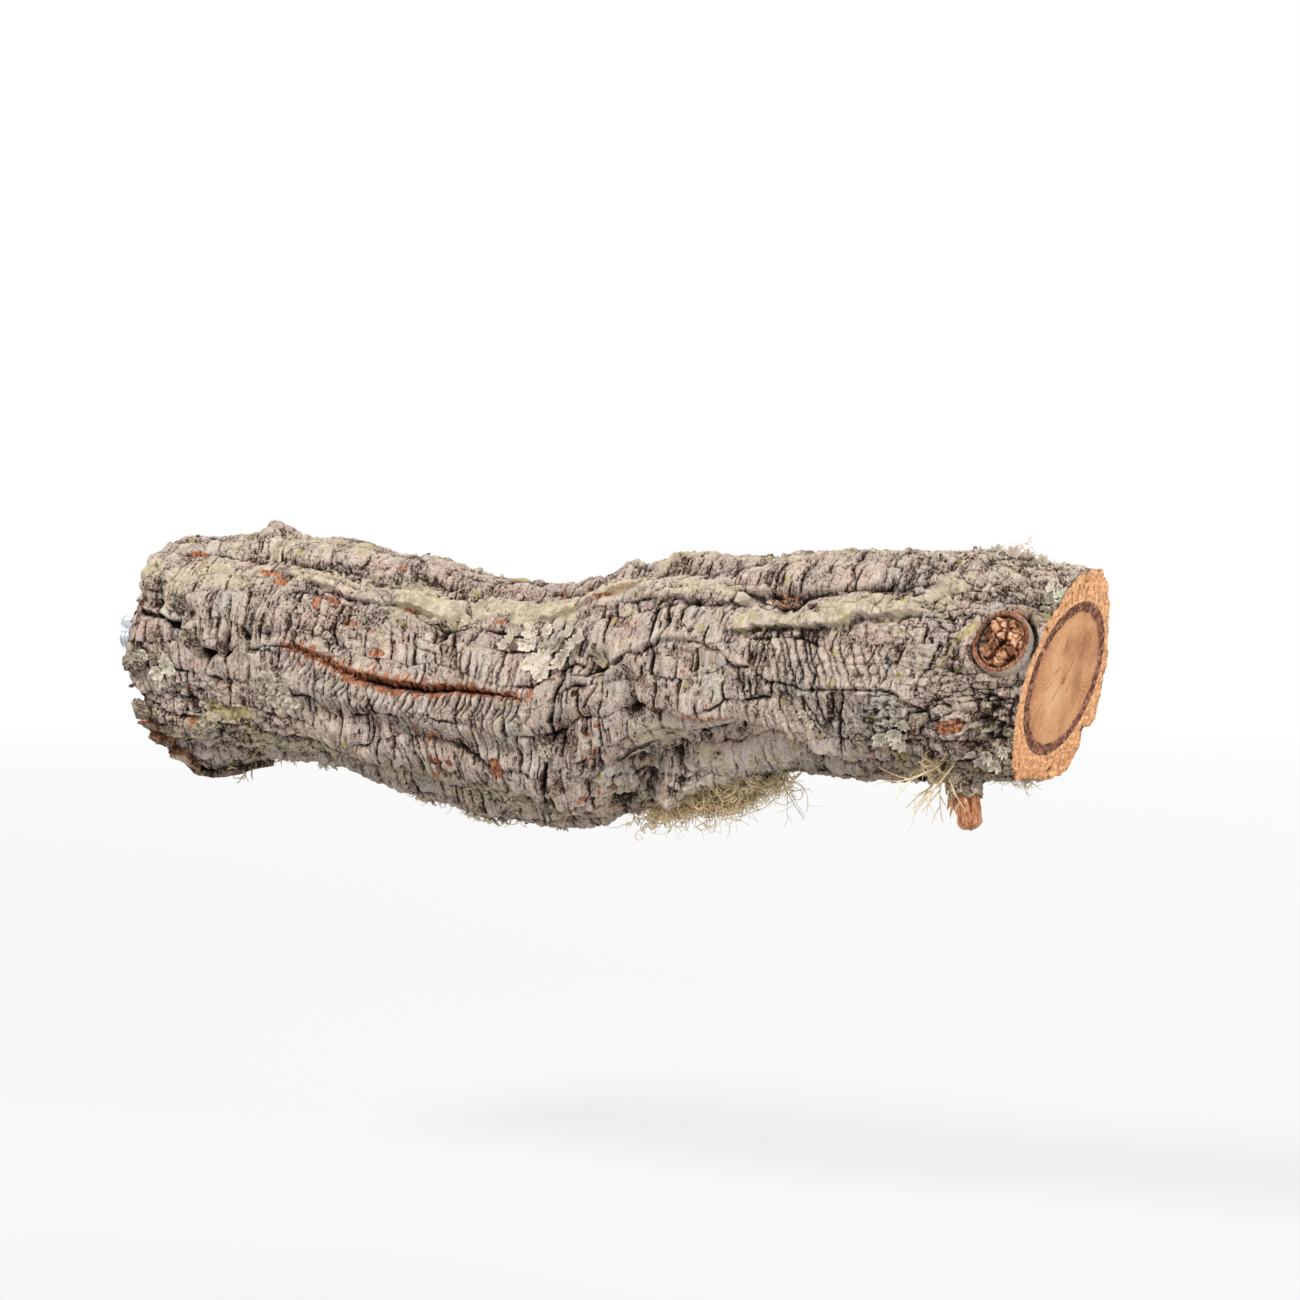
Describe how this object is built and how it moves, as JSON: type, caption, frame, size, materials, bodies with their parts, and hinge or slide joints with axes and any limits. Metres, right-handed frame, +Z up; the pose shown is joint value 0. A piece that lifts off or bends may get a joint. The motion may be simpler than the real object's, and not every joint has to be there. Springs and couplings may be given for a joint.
{
  "type": "bird perch",
  "caption": "Natural cork-oak branch perch with a hanger bolt, washers and wing nut that clamp it to upright cage bars.",
  "frame": {"origin": "on the stud's axis, on the inner washer's outer face, which the cage bars press against", "axes": "+X along the branch, out from the cage wall; +Z up; -X along the stud towards its free end"},
  "size_m": [0.3138, 0.0712, 0.0847],
  "materials": {
    "cork": "rough weathered cork bark",
    "inner_bark": "fibrous dark brown",
    "wood": "sawn end grain",
    "rotten_wood": "splintered and crumbling",
    "twig_bark": "thin dry bark",
    "lichen": "dry and matt",
    "beard_lichen": "dry fine strands",
    "zinc_steel": "bright zinc plate"
  },
  "bodies": {
    "branch": {"hanger_bolt": "zinc_steel", "wood_core": "wood", "inner_bark": "inner_bark", "cork_bark": "cork", "stub_bark": "cork", "stub_heart": "rotten_wood", "twig_wood": "rotten_wood", "twig_bark": "twig_bark", "snag": "rotten_wood", "leaf_lichen_middle": "lichen", "leaf_lichen_mount": "lichen", "leaf_lichen_low": "lichen", "leaf_lichen_top": "lichen", "leaf_lichen_end": "lichen", "beard_lichen_middle": "beard_lichen", "beard_lichen_twig": "beard_lichen", "beard_lichen_mount": "beard_lichen", "beard_lichen_top": "beard_lichen", "beard_lichen_end": "beard_lichen"},
    "inner_washer": {"inner_washer": "zinc_steel"},
    "outer_washer": {"outer_washer": "zinc_steel"},
    "wing_nut": {"wing_nut": "zinc_steel"}
  },
  "joints": [
    {"name": "inner_washer_slide", "type": "slide", "parent": "branch", "child": "inner_washer", "axis": [-1, 0, 0], "range_m": [0, 0.0022]},
    {"name": "outer_washer_slide", "type": "slide", "parent": "branch", "child": "outer_washer", "axis": [-1, 0, 0], "range_m": [-0.00255, 0.0089]},
    {"name": "wing_nut_turn", "type": "hinge", "parent": "outer_washer", "child": "wing_nut", "pos_m": [-0.01, 0, 0], "axis": [-1, 0, 0], "range_deg": [-720, 2520]}
  ],
  "couplings": [
    {"joint": "outer_washer_slide", "follows": "wing_nut_turn", "m_per_rad": 0.00020213}
  ]
}
